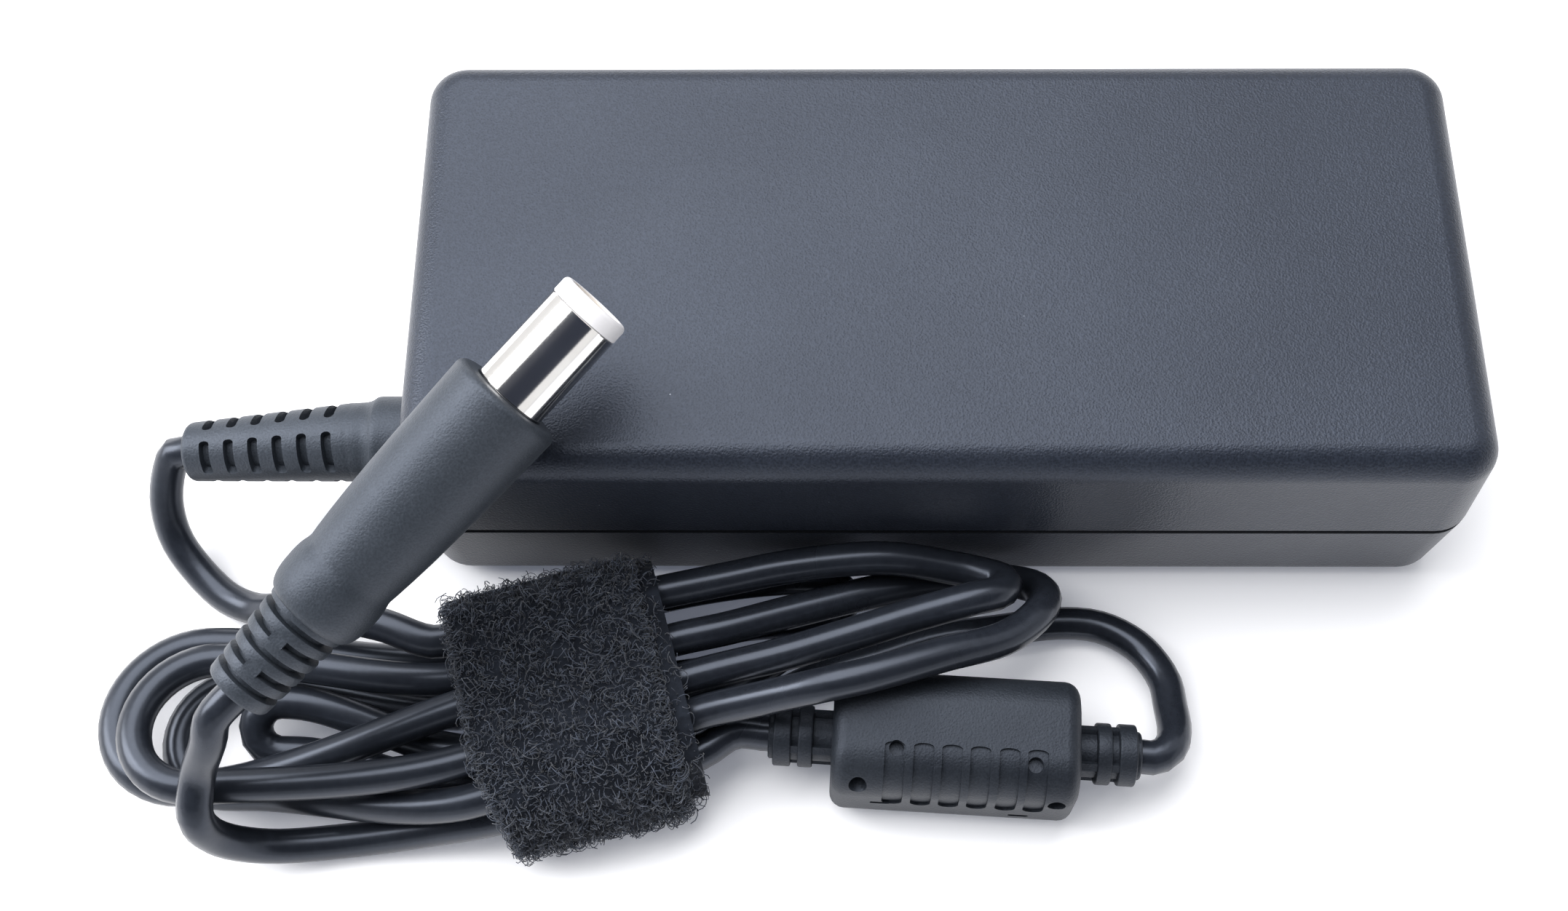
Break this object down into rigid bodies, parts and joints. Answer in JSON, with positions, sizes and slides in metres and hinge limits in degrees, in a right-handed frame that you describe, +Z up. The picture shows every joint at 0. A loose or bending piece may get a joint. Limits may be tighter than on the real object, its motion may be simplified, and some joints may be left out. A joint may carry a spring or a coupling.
{
  "type": "laptop power adapter",
  "caption": "Laptop power adapter: brick with a mains inlet, output cord with ferrite choke and barrel plug, wound in a hank held by a hook-and-loop strap.",
  "frame": {"origin": "centre of the case's underside, on the surface that it stands on", "axes": "+X along the case towards the mains inlet, -Y towards the wound cord, +Z up"},
  "size_m": [0.1397, 0.0807, 0.0431],
  "materials": {
    "case_plastic": "moulded, fine spark texture",
    "inlet_plastic": "smooth moulded",
    "pin_metal": "tin plated",
    "board_laminate": "solder mask",
    "sheet_aluminium": "rolled sheet",
    "insulation_film": "film",
    "fuse_ceramic": "glazed",
    "thermistor_coating": "dipped coating",
    "film_box": "moulded box",
    "ferrite": "sintered",
    "copper_wire": "enamelled copper",
    "package_plastic": "moulded epoxy",
    "capacitor_sleeve": "shrink sleeve",
    "winding_tape": "polyester tape",
    "disc_coating": "dipped coating",
    "opto_plastic": "moulded epoxy",
    "output_capacitor_sleeve": "shrink sleeve",
    "wire_insulation": "extruded",
    "overmould_plastic": "soft moulded, satin",
    "cord_jacket": "extruded, satin",
    "nickel": "nickel plated",
    "white_plastic": "moulded",
    "contact_brass": "plated",
    "hook_and_loop": "fuzzy loop pile"
  },
  "bodies": {
    "adapter": {"top_cover": "case_plastic", "bottom_cover": "case_plastic", "inlet_housing": "inlet_plastic", "inlet_pins": "pin_metal", "circuit_board": "board_laminate", "upper_heat_spreader": "sheet_aluminium", "lower_heat_spreader": "sheet_aluminium", "insulation_sheet": "insulation_film", "fuse": "fuse_ceramic", "inrush_thermistor": "thermistor_coating", "film_capacitor": "film_box", "choke_core": "ferrite", "choke_winding": "copper_wire", "bridge_rectifier": "package_plastic", "bulk_capacitor": "capacitor_sleeve", "primary_heat_sink": "sheet_aluminium", "switching_transistor": "package_plastic", "transformer_core": "ferrite", "transformer_winding": "winding_tape", "y_capacitor": "disc_coating", "optocoupler": "opto_plastic", "controller_chip": "package_plastic", "output_heat_sink": "sheet_aluminium", "output_rectifier": "package_plastic", "output_capacitors": "output_capacitor_sleeve", "output_choke_core": "ferrite", "output_choke_winding": "copper_wire", "output_wires": "wire_insulation", "strain_relief": "overmould_plastic", "cord_lead": "cord_jacket", "cord_hank": "cord_jacket", "cord_plug_lead": "cord_jacket", "ferrite_core": "ferrite", "ferrite_overmould": "overmould_plastic", "plug_grip": "overmould_plastic", "plug_barrel": "nickel", "plug_insulator": "white_plastic", "plug_contact": "contact_brass", "plug_centre_pin": "nickel", "strap_wrap": "hook_and_loop"},
    "strap_end": {"strap_tab": "hook_and_loop"}
  },
  "joints": [
    {"name": "strap_peel", "type": "hinge", "parent": "adapter", "child": "strap_end", "pos_m": [-0.03484, -0.04515, 0.01378], "axis": [-0.9659, -0.2588, 0], "range_deg": [0, 150]}
  ]
}
